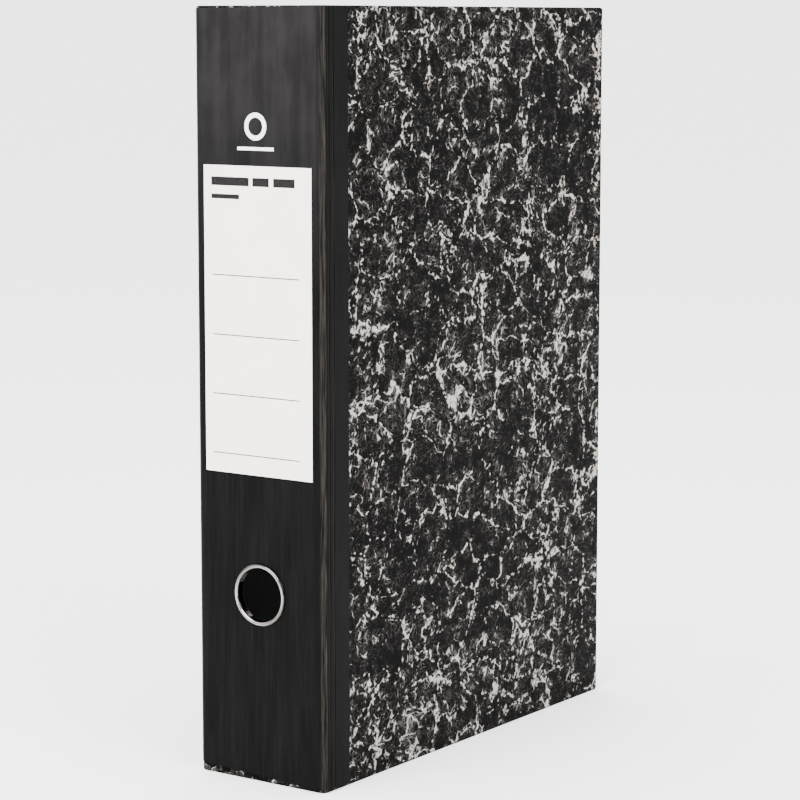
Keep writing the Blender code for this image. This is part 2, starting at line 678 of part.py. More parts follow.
def hang(name, point, pieces):
    """An empty on a joint's axis, which carries the pieces that move together about it or along it."""
    pivot = bpy.data.objects.new(name, None)
    pivot.location = point
    bpy.context.collection.objects.link(pivot)
    for piece in pieces:
        made = bpy.data.objects[piece]
        made.data.transform(Matrix.Translation(-point))
        made.parent = pivot


def layers(name):
    return [name + suffix for suffix in ("_board", "_paper", "_cloth", "_lining")]


def hang_moving_pieces():
    fold = CORNER_RADIUS * (1 - math.pi / 4)
    hang("back_hinge_axis", case(fold, fold, 0.0),
         layers("spine") + layers("back_hinge") + ["spine_label", "finger_ring_front", "finger_ring_back"])
    hang("front_hinge_axis", case(THICKNESS - fold, fold, 0.0),
         layers("front_cover") + layers("front_hinge"))
    hang("arch_axis", world(SHAFT_U, SHAFT_V, MIDDLE_Z), ["arch_wire", "arch_crank_plate"])
    middle = (LEVER_V[0] + LEVER_V[1]) / 2
    hang("lever_axis", world(PIVOT_U, middle, PIVOT_Z), ["lever_arm", "lever_grip", "roller_pin"])
    hang("roller_axis", lever_place(ROLLER_ARM, 0.0, middle), ["lever_roller"])
    hang("compressor_path", world(COMPRESSOR_U[0], POST_V, MIDDLE_Z),
         ["compressor_bar", "lower_compressor_clip", "upper_compressor_clip"])


remove_everything()
make_cover("back_cover", False)
make_cover("front_cover", True)
make_spine()
make_finger_ring()
make_hinge("back_hinge", False)
make_hinge("front_hinge", True)
make_base_plate()
make_posts()
make_rivets()
make_arches()
make_crank_plate()
make_spring()
make_lever()
make_pivot_pin()
make_compressor()
hang_moving_pieces()
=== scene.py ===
"""Looks of the lever arch file: marbled paper, black book cloth, a ruled label and a nickel mechanism,
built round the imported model."""

import math

import bmesh
import bpy
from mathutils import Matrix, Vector, noise


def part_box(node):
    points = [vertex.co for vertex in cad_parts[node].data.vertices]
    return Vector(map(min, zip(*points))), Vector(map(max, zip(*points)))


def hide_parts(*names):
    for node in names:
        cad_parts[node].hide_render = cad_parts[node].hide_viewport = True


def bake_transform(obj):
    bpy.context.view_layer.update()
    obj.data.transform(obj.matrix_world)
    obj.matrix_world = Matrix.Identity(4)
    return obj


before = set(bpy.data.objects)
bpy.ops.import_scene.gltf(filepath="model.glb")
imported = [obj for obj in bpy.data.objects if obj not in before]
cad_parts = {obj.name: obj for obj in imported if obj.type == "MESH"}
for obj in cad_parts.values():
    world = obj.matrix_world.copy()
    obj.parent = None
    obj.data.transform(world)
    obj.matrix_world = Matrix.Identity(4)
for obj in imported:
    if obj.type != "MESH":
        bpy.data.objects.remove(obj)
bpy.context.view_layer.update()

MM = 0.001

# The case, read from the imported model
SPINE_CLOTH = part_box("spine_cloth")
BACK_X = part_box("back_cover_cloth")[0].x
FRONT_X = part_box("front_cover_cloth")[1].x
SPINE_Y = SPINE_CLOTH[0].y
OPEN_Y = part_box("front_cover_paper")[1].y
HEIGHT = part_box("front_cover_paper")[1].z
PAPER_DEPTH = FRONT_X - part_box("front_cover_paper")[1].x
WALL = FRONT_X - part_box("front_cover_lining")[0].x
CLOTH = SPINE_CLOTH[1].y - SPINE_Y
CLOTH_ON_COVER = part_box("front_cover_cloth")[1].y - SPINE_Y
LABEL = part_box("spine_label")
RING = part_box("finger_ring_front")

MIDDLE_X = (BACK_X + FRONT_X) / 2
HALF = (FRONT_X - BACK_X) / 2
DEPTH = OPEN_Y - SPINE_Y
CORNER = 3.4 * MM
ARC = CORNER * math.pi / 2
STRAIGHT = HALF - CORNER
TO_COVER = STRAIGHT + ARC - CORNER
OPEN_S = TO_COVER + DEPTH

EDGE_ROUND = 0.7 * MM
BOARD_CORNER = 1.4 * MM
LINING_STEP = 0.12 * MM
LINING_INSET = 4.2 * MM
OVERLAP = 0.04 * MM
CREASES = [STRAIGHT + CORNER * math.radians(turn) for turn in (36, 62)]
CREASES += [TO_COVER + 4.9 * MM, TO_COVER + 8.3 * MM]
CREASE_HALF = 0.6 * MM
CREASE_DEPTH = 0.32 * MM
CLOTH_END = TO_COVER + CLOTH_ON_COVER
CLOTH_FOOT = (4.3 * MM, 1.1 * MM)
CLOTH_HEAD = (1.1 * MM, 0.35 * MM)
CLOTH_RAGGED = 0.25 * MM
HOLE = 13.5 * MM
RIPPLE = 0.09 * MM

# Mesh spacing: along a sheet, across the creases and in from its edges
LONG_STEP = 5 * MM
CREASE_STEP = 0.24 * MM
FINE_EDGE = 2.5 * MM
FINE_SHARES = (1.0, 0.55, 0.3, 0.17, 0.08, 0.02, 0.0)

# Marbling: voronoi scale, how far the noises widen its veins, their least width, and strength
VEINS = ((0.10, 0.22, 0.007, 1.0), (0.22, 0.34, -0.009, 0.85), (0.62, 0.55, -0.020, 0.26),
         (0.95, 0.40, 0.055, 0.06))
MARBLE_BLACK = (0.0010, 0.0009, 0.0009)
MARBLE_PALE = ((0.235, 0.213, 0.198), (0.31, 0.285, 0.268))

# Black cloth: its streaks, a painted sheen at the top of the spine, painted shade on its strip over the
# covers, and its rubbed creases with a painted highlight
CLOTH_STREAKS = ((0.0009, 0.0009, 0.00095), (0.0034, 0.0033, 0.0033))
CLOTH_BROAD = (0.0060, 0.0058, 0.0058)
CLOTH_TOP_SHEEN = (0.0130, 0.0122, 0.0125)
CLOTH_COVER_SHADE = (0.0005, 0.0005, 0.0005)
CLOTH_RUB_AND_HIGHLIGHT = (0.028, 0.0252, 0.0228)
RUB_AND_HIGHLIGHT = (0.75, 0.9, 0.12, 0.18)
FOIL = (0.80, 0.79, 0.77)

# Papers, boards, metals and plastic, each from one colour to another
LABEL_WHITE = ((0.82, 0.762, 0.70), (0.865, 0.81, 0.75))
LABEL_INK = (0.004, 0.004, 0.0045)
LINING_GREY = ((0.009, 0.009, 0.0098), (0.017, 0.017, 0.018))
BOARD_GREY = ((0.30, 0.28, 0.255), (0.40, 0.375, 0.345))
NICKEL = ((0.34, 0.33, 0.312), (0.25, 0.241, 0.228))
DULL_NICKEL = ((0.175, 0.168, 0.158), (0.11, 0.105, 0.098))
STEEL = ((0.30, 0.304, 0.31), (0.225, 0.228, 0.232))
RING_CREST = 13.5
# The ring's painted shade: darker off its crest and at two of its sides
RING_EDGE_SHADE = (0.020, 0.017, 0.016)
RING_SIDE_SHADE = (0.085, 0.075, 0.070)
PLASTIC = ((0.0035, 0.0035, 0.0037), (0.012, 0.012, 0.0125))

# Printing, in millimetres: the mark from the middle of the spine, the label from its lower left corner
MARK = (-1.0, 305.5)
MARK_RADIUS = 5.2
MARK_LINE = 2.2
MARK_BAR = ((-1.0, 295.4), (21.0, 1.5))
LABEL_PRINT = [((30.1, z), (50.4, 0.5)) for z in (9.0, 36.7, 64.3, 92.0)]
LABEL_PRINT += [((15.6, 135.2), (22.0, 4.0)), ((33.4, 135.2), (9.6, 4.0)), ((46.8, 135.2), (12.4, 4.0)),
                ((12.8, 128.2), (16.4, 2.2))]

CAMERA_PLACE = (0.7562, -1.0781, 0.3519)
CAMERA_TURN = (math.radians(90 - 7.33), 0.0, math.radians(35.24))
CAMERA_LENS = 120.55
CAMERA_SHIFT = -0.04
SENSOR = 36.0
FLOOR_GREY = (0.86, 0.86, 0.86)
FLOOR_SIZE = 120.0

# The studio: light behind the camera, its share behind the object, and how much brighter it gets upwards
WORLD_LIGHT = 3.4
WORLD_SHADE = 0.4
WORLD_RISE = 2.4
WORLD_EDGE = 0.6

# Lights: name, place, aim, size and power
OBJECT_MIDDLE = (0.0, 0.0, HEIGHT / 2)
LIGHTS = (
    ("key", (0.1, -1.5, 1.7), OBJECT_MIDDLE, (1.4, 1.0), 95.0),
    ("side", (1.8, -0.6, 1.3), OBJECT_MIDDLE, (1.2, 1.2), 60.0),
    ("glow", (-1.2, -1.8, 0.95), (0.0, SPINE_Y, 0.33), (0.9, 0.5), 16.0),
)


# --- shader helpers

class Nodes:
    """A material's node tree, with short calls for the nodes that the looks use."""

    def __init__(self, name, colour=(0.5, 0.5, 0.5), roughness=0.5, metallic=0.0):
        self.material = bpy.data.materials.new(name)
        self.material.use_nodes = True
        self.tree = self.material.node_tree
        self.shader = self.tree.nodes["Principled BSDF"]
        self.set("Base Color", (*colour, 1.0))
        self.set("Roughness", roughness)
        self.set("Metallic", metallic)

    def set(self, socket, value):
        if isinstance(value, bpy.types.NodeSocket):
            self.tree.links.new(value, self.shader.inputs[socket])
        else:
            self.shader.inputs[socket].default_value = value

    def node(self, kind, inputs=None, **settings):
        made = self.tree.nodes.new(kind)
        for key, value in settings.items():
            setattr(made, key, value)
        for key, value in (inputs or {}).items():
            if isinstance(value, bpy.types.NodeSocket):
                self.tree.links.new(value, made.inputs[key])
            else:
                made.inputs[key].default_value = value
        return made

    def place(self, attribute=None, stretch=(1.0, 1.0, 1.0)):
        """A point of the surface in millimetres: a stored attribute, or the piece's own coordinates."""
        if attribute:
            source = self.node("ShaderNodeAttribute", attribute_name=attribute).outputs["Vector"]
        else:
            source = self.node("ShaderNodeTexCoord").outputs["Object"]
        scale = tuple(s / MM for s in stretch)
        return self.node("ShaderNodeMapping", {"Vector": source, "Scale": scale}).outputs[0]

    def noise(self, place, scale, detail=2.0, rough=0.5):
        inputs = {"Vector": place, "Scale": scale, "Detail": detail, "Roughness": rough}
        return self.node("ShaderNodeTexNoise", inputs).outputs

    def voronoi(self, place, scale, feature="F1"):
        return self.node("ShaderNodeTexVoronoi", {"Vector": place, "Scale": scale}, feature=feature).outputs

    def math(self, operation, a, b=None, c=None):
        made = self.node("ShaderNodeMath", operation=operation)
        for i, value in enumerate((a, b, c)):
            if isinstance(value, bpy.types.NodeSocket):
                self.tree.links.new(value, made.inputs[i])
            elif value is not None:
                made.inputs[i].default_value = value
        return made.outputs[0]

    def vector(self, operation, a, b):
        made = self.node("ShaderNodeVectorMath", operation=operation)
        for i, value in enumerate((a, b)):
            if isinstance(value, bpy.types.NodeSocket):
                self.tree.links.new(value, made.inputs[i])
            elif operation == "SCALE" and i == 1:
                made.inputs["Scale"].default_value = value
            else:
                made.inputs[i].default_value = value
        return made.outputs[0]

    def split(self, vector):
        return self.node("ShaderNodeSeparateXYZ", {"Vector": vector}).outputs

    def band(self, value, low, high, a=0.0, b=1.0):
        """value between low and high, spread smoothly from a to b."""
        inputs = {"Value": value, "From Min": low, "From Max": high, "To Min": a, "To Max": b}
        return self.node("ShaderNodeMapRange", inputs, interpolation_type="SMOOTHSTEP").outputs[0]

    def weight(self, value, amount):
        """value's distance from one half, times an amount."""
        return self.math("MULTIPLY", self.math("SUBTRACT", value, 0.5), amount)

    def away(self, along, up, middle):
        """How far a point is along, up and in all from the middle of a round shape."""
        across = self.math("SUBTRACT", along, middle[0])
        height = self.math("SUBTRACT", up, middle[1])
        squares = (self.math("MULTIPLY", across, across), self.math("MULTIPLY", height, height))
        return across, height, self.math("SQRT", self.math("ADD", *squares))

    def mix(self, share, a, b):
        made = self.node("ShaderNodeMix", data_type="RGBA")
        for socket, value in ((0, share), (6, a), (7, b)):
            if isinstance(value, bpy.types.NodeSocket):
                self.tree.links.new(value, made.inputs[socket])
            elif socket == 0:
                made.inputs[0].default_value = value
            else:
                made.inputs[socket].default_value = (*value, 1.0)
        return made.outputs[2]

    def bump(self, height, strength, distance_mm):
        inputs = {"Height": height, "Strength": strength, "Distance": distance_mm * MM}
        return self.node("ShaderNodeBump", inputs).outputs[0]


# --- materials

def marbled_paper():
    """Printed marbling: pale crumpled veins on black, with dark clouds and a fine net between them."""
    n = Nodes("marbled_paper")
    n.set("Specular IOR Level", 0.015)
    at = n.place("grain")
    flat = n.place("grain", (0.43, 0.35, 0.43))
    half = (0.5, 0.5, 0.5)
    sway = n.vector("SUBTRACT", n.noise(flat, 0.07, 1.0, 0.5)["Color"], half)
    curl = n.vector("SUBTRACT", n.noise(flat, 0.38, 1.0, 0.5)["Color"], half)
    bent = n.vector("ADD", flat, n.vector("SCALE", sway, 9.0))
    bent = n.vector("ADD", bent, n.vector("SCALE", curl, 3.7))
    drawn = n.vector("MULTIPLY", bent, (0.9, 1.0, 1.05))
    clouds = n.noise(flat, 0.035, 2.0, 0.6)["Fac"]
    swell = n.noise(flat, 0.19, 1.5, 0.5)["Fac"]
    speck = n.noise(flat, 0.5, 1.0, 0.5)["Fac"]
    width = n.math("ADD", n.weight(swell, 0.55), n.weight(clouds, 0.36))
    width = n.math("ADD", width, n.weight(speck, 0.5))
    torn = n.weight(n.noise(flat, 1.15, 2.0, 0.6)["Fac"], 0.17)
    pale = None
    for scale, share, start, strength in VEINS:
        gap = n.voronoi(drawn, scale, "DISTANCE_TO_EDGE")["Distance"]
        edge = n.math("SUBTRACT", n.math("MULTIPLY_ADD", width, share, start), gap)
        edge = n.math("ADD", edge, torn)
        vein = n.band(edge, -0.014, 0.022, 0.0, strength)
        pale = vein if pale is None else n.math("MAXIMUM", pale, vein)
    tone = n.noise(at, 0.05, 2.0)["Fac"]
    n.set("Base Color", n.mix(pale, MARBLE_BLACK, n.mix(tone, *MARBLE_PALE)))
    fibres = n.noise(at, 3.0, 4.0, 0.6)["Fac"]
    n.set("Roughness", n.band(fibres, 0.3, 0.7, 0.50, 0.64))
    n.set("Normal", n.bump(fibres, 0.25, 0.05))
    return n.material


def edge_wear(n, low, high):
    """1 on edges that stand out and 0 elsewhere."""
    pointed = n.node("ShaderNodeNewGeometry").outputs["Pointiness"]
    return n.band(pointed, low, high)


def black_cloth():
    """Coated book cloth: fine streaks along the spine, a soft sheen, a painted sheen at the top of the
    spine, painted shade over the covers, rubbed creases with a painted highlight and a stamped mark.
    """
    n = Nodes("black_cloth")
    n.set("Specular IOR Level", 0.022)
    at = n.place("grain")
    streaks = n.noise(n.place("grain", (1.0, 1.0, 0.022)), 1.1, 5.0, 0.62)["Fac"]
    broad = n.noise(n.place("grain", (1.0, 1.0, 0.12)), 0.16, 3.0, 0.55)["Fac"]
    cloudy = n.noise(at, 0.035, 3.0, 0.6)["Fac"]
    colour = n.mix(n.band(streaks, 0.3, 0.75), *CLOTH_STREAKS)
    colour = n.mix(n.band(broad, 0.35, 0.75, 0.0, 0.4), colour, CLOTH_BROAD)
    along, _, up = n.split(at)
    reach = n.math("ABSOLUTE", along)
    on_spine = n.band(reach, STRAIGHT / MM - 2.0, HALF / MM, 1.0, 0.0)
    # Painted sheen: the cloth on the spine gets lighter towards its top
    top_sheen = n.math("MULTIPLY", n.band(up, 205.0, 350.0), on_spine)
    top_sheen = n.math("MULTIPLY", top_sheen, n.band(n.math("ADD", broad, cloudy), 0.75, 1.25, 0.5, 1.0))
    colour = n.mix(top_sheen, colour, CLOTH_TOP_SHEEN)
    # Painted shade: the cloth is darker over the spine's corner and on the cover
    colour = n.mix(n.band(reach, STRAIGHT / MM, HALF / MM + 1.0, 0.0, 0.55), colour, CLOTH_COVER_SHADE)
    torn = n.noise(n.place("grain", (1.0, 1.0, 0.02)), 2.2, 4.0, 0.7)["Fac"]
    # Rubbed creases: lighter from real wear, with a painted highlight along each one
    worn = None
    for crease, amount in zip(CREASES, RUB_AND_HIGHLIGHT):
        near = n.band(n.math("ABSOLUTE", n.math("SUBTRACT", reach, crease / MM)), 0.25, 1.3, amount, 0.0)
        worn = near if worn is None else n.math("MAXIMUM", worn, near)
    worn = n.math("MULTIPLY", worn, n.band(torn, 0.40, 0.62))
    colour = n.mix(worn, colour, CLOTH_RUB_AND_HIGHLIGHT)
    stamp = n.math("MULTIPLY", stamped_mark(n, along, up), n.band(streaks, 0.2, 0.5, 0.8, 1.0))
    n.set("Base Color", n.mix(stamp, colour, FOIL))
    rough = n.math("MULTIPLY_ADD", n.math("SUBTRACT", streaks, 0.5), 0.22, 0.43)
    rough = n.math("MULTIPLY_ADD", n.math("SUBTRACT", cloudy, 0.5), 0.25, rough)
    n.set("Roughness", rough)
    weave = n.noise(n.place("grain", (1.0, 1.0, 0.2)), 2.6, 2.0, 0.5)["Fac"]
    grain = n.math("ADD", n.math("MULTIPLY", streaks, 0.7), n.math("MULTIPLY", weave, 0.5))
    n.set("Normal", n.bump(grain, 0.3, 0.06))
    return n.material


def bar(n, along, up, middle, size):
    """1 inside a rectangle and 0 outside it, in millimetres."""
    across = n.math("ABSOLUTE", n.math("SUBTRACT", along, middle[0]))
    height = n.math("ABSOLUTE", n.math("SUBTRACT", up, middle[1]))
    inside = n.math("LESS_THAN", across, size[0] / 2)
    return n.math("MULTIPLY", inside, n.math("LESS_THAN", height, size[1] / 2))


def stamped_mark(n, along, up):
    """A plain ring above a short bar."""
    _, _, away = n.away(along, up, MARK)
    from_line = n.math("ABSOLUTE", n.math("SUBTRACT", away, MARK_RADIUS))
    ring = n.math("LESS_THAN", from_line, MARK_LINE / 2)
    return n.math("MAXIMUM", ring, bar(n, along, up, *MARK_BAR))


def label_paper():
    """White label stock with four ruled lines and plain bars in place of a title."""
    n = Nodes("label_paper", roughness=0.5)
    at = n.place()
    along, _, up = n.split(at)
    fibres = n.noise(at, 1.6, 5.0, 0.65)["Fac"]
    cloudy = n.noise(at, 0.06, 2.0, 0.5)["Fac"]
    colour = n.mix(n.band(cloudy, 0.3, 0.7), *LABEL_WHITE)
    left = (LABEL[0].x - MIDDLE_X) / MM
    foot = LABEL[0].z / MM
    ink = None
    for middle, size in LABEL_PRINT:
        shape = bar(n, along, up, (left + middle[0], foot + middle[1]), size)
        ink = shape if ink is None else n.math("MAXIMUM", ink, shape)
    patchy = n.band(fibres, 0.25, 0.6, 0.965, 1.0)
    n.set("Specular IOR Level", n.band(ink, 0.0, 1.0, 0.2, 0.02))
    n.set("Base Color", n.mix(n.math("MULTIPLY", ink, patchy), colour, LABEL_INK))
    n.set("Roughness", n.band(fibres, 0.3, 0.7, 0.46, 0.58))
    n.set("Normal", n.bump(fibres, 0.2, 0.03))
    return n.material


def plain_paper(name, dark, light, roughness, attribute=None):
    """Uncoated paper or board, with fibres."""
    n = Nodes(name)
    n.set("Specular IOR Level", 0.1)
    at = n.place(attribute)
    fibres = n.noise(at, 1.2, 6.0, 0.7)["Fac"]
    specks = n.voronoi(at, 0.9)["Distance"]
    colour = n.mix(n.band(fibres, 0.3, 0.7), dark, light)
    pale = tuple(1.8 * c for c in light)
    n.set("Base Color", n.mix(n.band(specks, 0.02, 0.10, 0.35, 0.0), colour, pale))
    n.set("Roughness", n.band(fibres, 0.3, 0.7, roughness - 0.06, roughness + 0.05))
    n.set("Normal", n.bump(fibres, 0.35, 0.08))
    return n.material


def ring_shade(n, tone):
    """Painted shade and reflections: dark against the cloth and in the bore, bright along the crest, and
    darker at two of its sides.
    """
    along, _, up = n.split(n.place())
    centre = (RING[0] + RING[1]) / 2 / MM
    across, height, away = n.away(along, up, (centre.x, centre.z))
    crest = n.math("ABSOLUTE", n.math("SUBTRACT", away, RING_CREST))
    # Painted shade towards the cloth and in the bore
    tone = n.mix(n.band(crest, 0.25, 0.95), tone, RING_EDGE_SHADE)
    # Painted shade on two sides of the ring
    side = n.math("ABSOLUTE", n.math("DIVIDE", n.math("ADD", across, height), away))
    return n.mix(n.band(side, 0.35, 1.2, 0.75, 0.0), tone, RING_SIDE_SHADE)


def metal(name, colour, dull, roughness, brushed, shade=None):
    """Plated steel: soft blotches in the finish, hairline scratches, and edges rubbed brighter."""
    n = Nodes(name, metallic=1.0)
    at = n.place()
    blotches = n.noise(at, 0.22, 4.0, 0.6)["Fac"]
    spangle = n.voronoi(at, 0.8)["Color"]
    hairline = n.noise(n.place(stretch=brushed), 1.0, 4.0, 0.65)["Fac"]
    tone = n.mix(n.band(blotches, 0.3, 0.75), colour, dull)
    worn = n.math("MULTIPLY", edge_wear(n, 0.52, 0.60), 0.6)
    tone = n.mix(worn, tone, tuple(min(1.0, c * 1.2) for c in colour))
    n.set("Base Color", shade(n, tone) if shade else tone)
    rough = n.band(blotches, 0.25, 0.75, roughness - 0.05, roughness + 0.10)
    rough = n.math("MULTIPLY_ADD", n.math("SUBTRACT", hairline, 0.5), 0.14, rough)
    rough = n.math("MULTIPLY_ADD", n.split(spangle)[0], 0.05, rough)
    n.set("Roughness", rough)
    n.set("Normal", n.bump(hairline, 0.12, 0.02))
    return n.material


def black_plastic():
    """Moulded plastic with a fine grain, polished by hands on its edges."""
    n = Nodes("black_plastic", roughness=0.4)
    n.set("Specular IOR Level", 0.2)
    at = n.place()
    grain = n.noise(at, 3.2, 3.0, 0.6)["Fac"]
    cloudy = n.noise(at, 0.15, 3.0, 0.6)["Fac"]
    worn = edge_wear(n, 0.51, 0.58)
    n.set("Base Color", n.mix(n.math("MULTIPLY", worn, 0.5), *PLASTIC))
    rough = n.band(cloudy, 0.3, 0.7, 0.34, 0.50)
    n.set("Roughness", n.math("SUBTRACT", rough, n.math("MULTIPLY", worn, 0.10)))
    n.set("Normal", n.bump(grain, 0.35, 0.05))
    return n.material


# --- shapes

def point_on_case(side, s, z, depth):
    """The point at s along the case from the middle of the spine, and depth below its outer face."""
    if s <= STRAIGHT:
        return (MIDDLE_X + side * s, SPINE_Y + depth, z)
    if s >= STRAIGHT + ARC:
        return (MIDDLE_X + side * (HALF - depth), SPINE_Y + s - TO_COVER, z)
    turn = (s - STRAIGHT) / CORNER
    across = STRAIGHT + (CORNER - depth) * math.sin(turn)
    return (MIDDLE_X + side * across, SPINE_Y + CORNER - (CORNER - depth) * math.cos(turn), z)


def place_on_case(x, y, z):
    """The grain coordinates of a point of the case: s, which is negative on the back, then depth and z."""
    side = 1.0 if x >= MIDDLE_X else -1.0
    across = abs(x - MIDDLE_X)
    deep = y - SPINE_Y
    if across <= STRAIGHT:
        return (side * across, deep, z)
    if deep >= CORNER:
        return (side * (TO_COVER + deep), HALF - across, z)
    a = across - STRAIGHT
    b = CORNER - deep
    return (side * (STRAIGHT + CORNER * math.atan2(a, b)), CORNER - math.hypot(a, b), z)


def store_grain(mesh):
    layer = mesh.attributes.new("grain", "FLOAT_VECTOR", "POINT")
    for vertex in mesh.vertices:
        layer.data[vertex.index].vector = place_on_case(*vertex.co)


def dent(s):
    """How far the hinge's creases press in."""
    deepest = 0.0
    for crease in CREASES:
        share = min(1.0, abs(s - crease) / CREASE_HALF)
        deepest = max(deepest, (1.0 - share * share) ** 2)
    return CREASE_DEPTH * deepest


def ripple(side, s, z):
    """The slight unevenness of a covered board, always inward and only on the covers."""
    fade = min(1.0, max(0.0, (s - CREASES[-1] - 1.5 * MM) / (30 * MM)))
    swell = noise.noise(Vector((side * s * 11.0, 4.0, z * 8.0)))
    swell += 0.5 * noise.noise(Vector((s * 37.0, 9.0, z * 25.0)))
    return RIPPLE * fade * min(1.0, max(0.0, 0.5 + swell))


def from_outline(s, z):
    """Distance in from the case's outline, whose corners at the open edge are rounded."""
    a = OPEN_S - s
    b = min(z, HEIGHT - z)
    if a < BOARD_CORNER and b < BOARD_CORNER:
        return max(0.0, BOARD_CORNER - math.hypot(BOARD_CORNER - a, BOARD_CORNER - b))
    return max(0.0, min(a, b))


def settle(s, z):
    """Brings a point in a sharp corner of the outline onto its rounded corner."""
    a = BOARD_CORNER - (OPEN_S - s)
    b = BOARD_CORNER - min(z, HEIGHT - z)
    away = math.hypot(a, b)
    if a <= 0.0 or b <= 0.0 or away <= BOARD_CORNER:
        return s, z
    pull = 1.0 - BOARD_CORNER / away
    return s - a * pull, z + (b * pull if z < HEIGHT / 2 else -b * pull)


def rounded(e):
    """How far a rounded board edge falls away at a distance in from it."""
    short = max(0.0, EDGE_ROUND - e)
    return EDGE_ROUND - math.sqrt(max(0.0, EDGE_ROUND ** 2 - short ** 2))


def stations(start, end, step):
    count = max(1, math.ceil((end - start) / step))
    return [start + (end - start) * i / count for i in range(count)]


def columns(end, fine_end):
    """Stations along the case, close together over the hinge and at an open edge."""
    flat = CREASES[-1] + 2 * CREASE_HALF
    made = stations(0.0, STRAIGHT, LONG_STEP)
    made += stations(STRAIGHT, flat, CREASE_STEP)
    made += stations(flat, end - fine_end, LONG_STEP)
    if fine_end == 0.0:
        return made + [end]
    return made + [end - fine_end * share for share in FINE_SHARES]


def rows():
    """Heights up the case, close together at its two ends."""
    near = [FINE_EDGE * share for share in reversed(FINE_SHARES[1:])]
    middle = stations(FINE_EDGE, HEIGHT - FINE_EDGE, LONG_STEP)
    return near + middle + [HEIGHT - d for d in [FINE_EDGE, *reversed(near)]]


def sheet(name, side, lines, heights, outer, inner, lift=None):
    """A closed solid over part of the case, between an outer and an inner depth at every point."""
    bm = bmesh.new()
    grids = []
    for depth in (outer, inner):
        grid = []
        for s in lines:
            line = []
            for z in heights:
                here = settle(s, lift(side * s, z) if lift else z)
                line.append(bm.verts.new(point_on_case(side, *here, depth(*here))))
            grid.append(line)
        grids.append(grid)
    top, under = grids
    for i in range(len(lines) - 1):
        for j in range(len(heights) - 1):
            bm.faces.new((top[i][j], top[i + 1][j], top[i + 1][j + 1], top[i][j + 1]))
            bm.faces.new((under[i][j], under[i][j + 1], under[i + 1][j + 1], under[i + 1][j]))
    count, tall = len(lines), len(heights)
    rim = [(i, 0) for i in range(count)] + [(count - 1, j) for j in range(1, tall)]
    rim += [(i, tall - 1) for i in range(count - 2, -1, -1)] + [(0, j) for j in range(tall - 2, 0, -1)]
    for (i, j), (k, m) in zip(rim, rim[1:] + rim[:1]):
        bm.faces.new((top[i][j], under[i][j], under[k][m], top[k][m]))
    bmesh.ops.recalc_face_normals(bm, faces=bm.faces)
    mesh = bpy.data.meshes.new(name)
    bm.to_mesh(mesh)
    bm.free()
    made = bpy.data.objects.new(name, mesh)
    bpy.context.collection.objects.link(made)
    return made


def cut_finger_hole(made):
    """Cuts the finger hole through the spine part of a sheet."""
    centre = (RING[0] + RING[1]) / 2
    place = (centre.x, SPINE_Y, centre.z)
    bpy.ops.mesh.primitive_cylinder_add(vertices=96, radius=HOLE, depth=20 * MM,
                                        location=place, rotation=(math.pi / 2, 0, 0))
    cutter = bpy.context.object
    change = made.modifiers.new("hole", "BOOLEAN")
    change.solver = "EXACT"
    change.object = cutter
    bpy.context.view_layer.update()
    whole = bpy.data.meshes.new_from_object(made.evaluated_get(bpy.context.evaluated_depsgraph_get()))
    made.modifiers.clear()
    made.data = whole
    bpy.data.objects.remove(cutter, do_unlink=True)


def finish_sheet(made, material, replaced):
    """Gives a sheet its finger hole and its look, and hides the imported parts it replaces."""
    cut_finger_hole(made)
    mesh = made.data
    store_grain(mesh)
    mesh.materials.clear()
    mesh.materials.append(material)
    mesh.shade_smooth()
    mesh.set_sharp_from_angle(angle=math.radians(38))
    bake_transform(made)
    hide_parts(*replaced)


def cloth_lift(s, z):
    """Shortens the cloth by a gap at each end that closes from the back of the spine to the front."""
    share = min(1.0, max(0.0, (s + HALF) / (2 * HALF)))
    foot = CLOTH_FOOT[0] + (CLOTH_FOOT[1] - CLOTH_FOOT[0]) * share
    foot += CLOTH_RAGGED * noise.noise(Vector((s * 160.0, 3.0, 0.0))) * (1.0 - share)
    head = CLOTH_HEAD[0] + (CLOTH_HEAD[1] - CLOTH_HEAD[0]) * share
    return foot + z * (1.0 - (foot + head) / HEIGHT)


def make_case(side, end_name, cover, paper, cloth, lining):
    """The papers, cloth and lining of half the case, laid round its hinge."""
    hinge = "front_hinge" if side > 0 else "back_hinge"

    def fall(s, z):
        return dent(s) + ripple(side, s, z)

    wrap = sheet("wrap_" + end_name, side, columns(OPEN_S, FINE_EDGE), rows(),
                 lambda s, z: PAPER_DEPTH + rounded(from_outline(s, z)) + fall(s, z),
                 lambda s, z: WALL - LINING_STEP - rounded(from_outline(s, z)))
    replaced = [cover + "_paper", hinge + "_paper", hinge + "_board"]
    if side > 0:
        replaced.append("spine_paper")
    finish_sheet(wrap, paper, replaced)
    over = sheet("cloth_" + end_name, side, columns(CLOTH_END, 0.0), rows(),
                 lambda s, z: rounded(from_outline(s, z)) + fall(s, z),
                 lambda s, z: PAPER_DEPTH + rounded(from_outline(s, z)) + fall(s, z) + OVERLAP, cloth_lift)
    replaced = [cover + "_cloth", hinge + "_cloth"]
    if side > 0:
        replaced.append("spine_cloth")
    finish_sheet(over, cloth, replaced)
    inset = [LINING_INSET + (HEIGHT - 2 * LINING_INSET) * z / HEIGHT for z in rows()]
    inside = sheet("lining_" + end_name, side, columns(OPEN_S - LINING_INSET, 0.0), inset,
                   lambda s, z: WALL - LINING_STEP - OVERLAP / 2, lambda s, z: WALL)
    replaced = [cover + "_lining", hinge + "_lining"]
    if side > 0:
        replaced.append("spine_lining")
    finish_sheet(inside, lining, replaced)


def look(names, material, bevel_mm=0.0):
    """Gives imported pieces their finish, and softens their edges."""
    for name in names:
        node = bpy.data.objects[name]
        node.data.materials.clear()
        node.data.materials.append(material)
        if bevel_mm:
            change = node.modifiers.new("edges", "BEVEL")
            change.width = bevel_mm * MM
            change.segments = 2
            change.limit_method = "ANGLE"
            change.angle_limit = math.radians(40)
            change.harden_normals = True


# --- the object

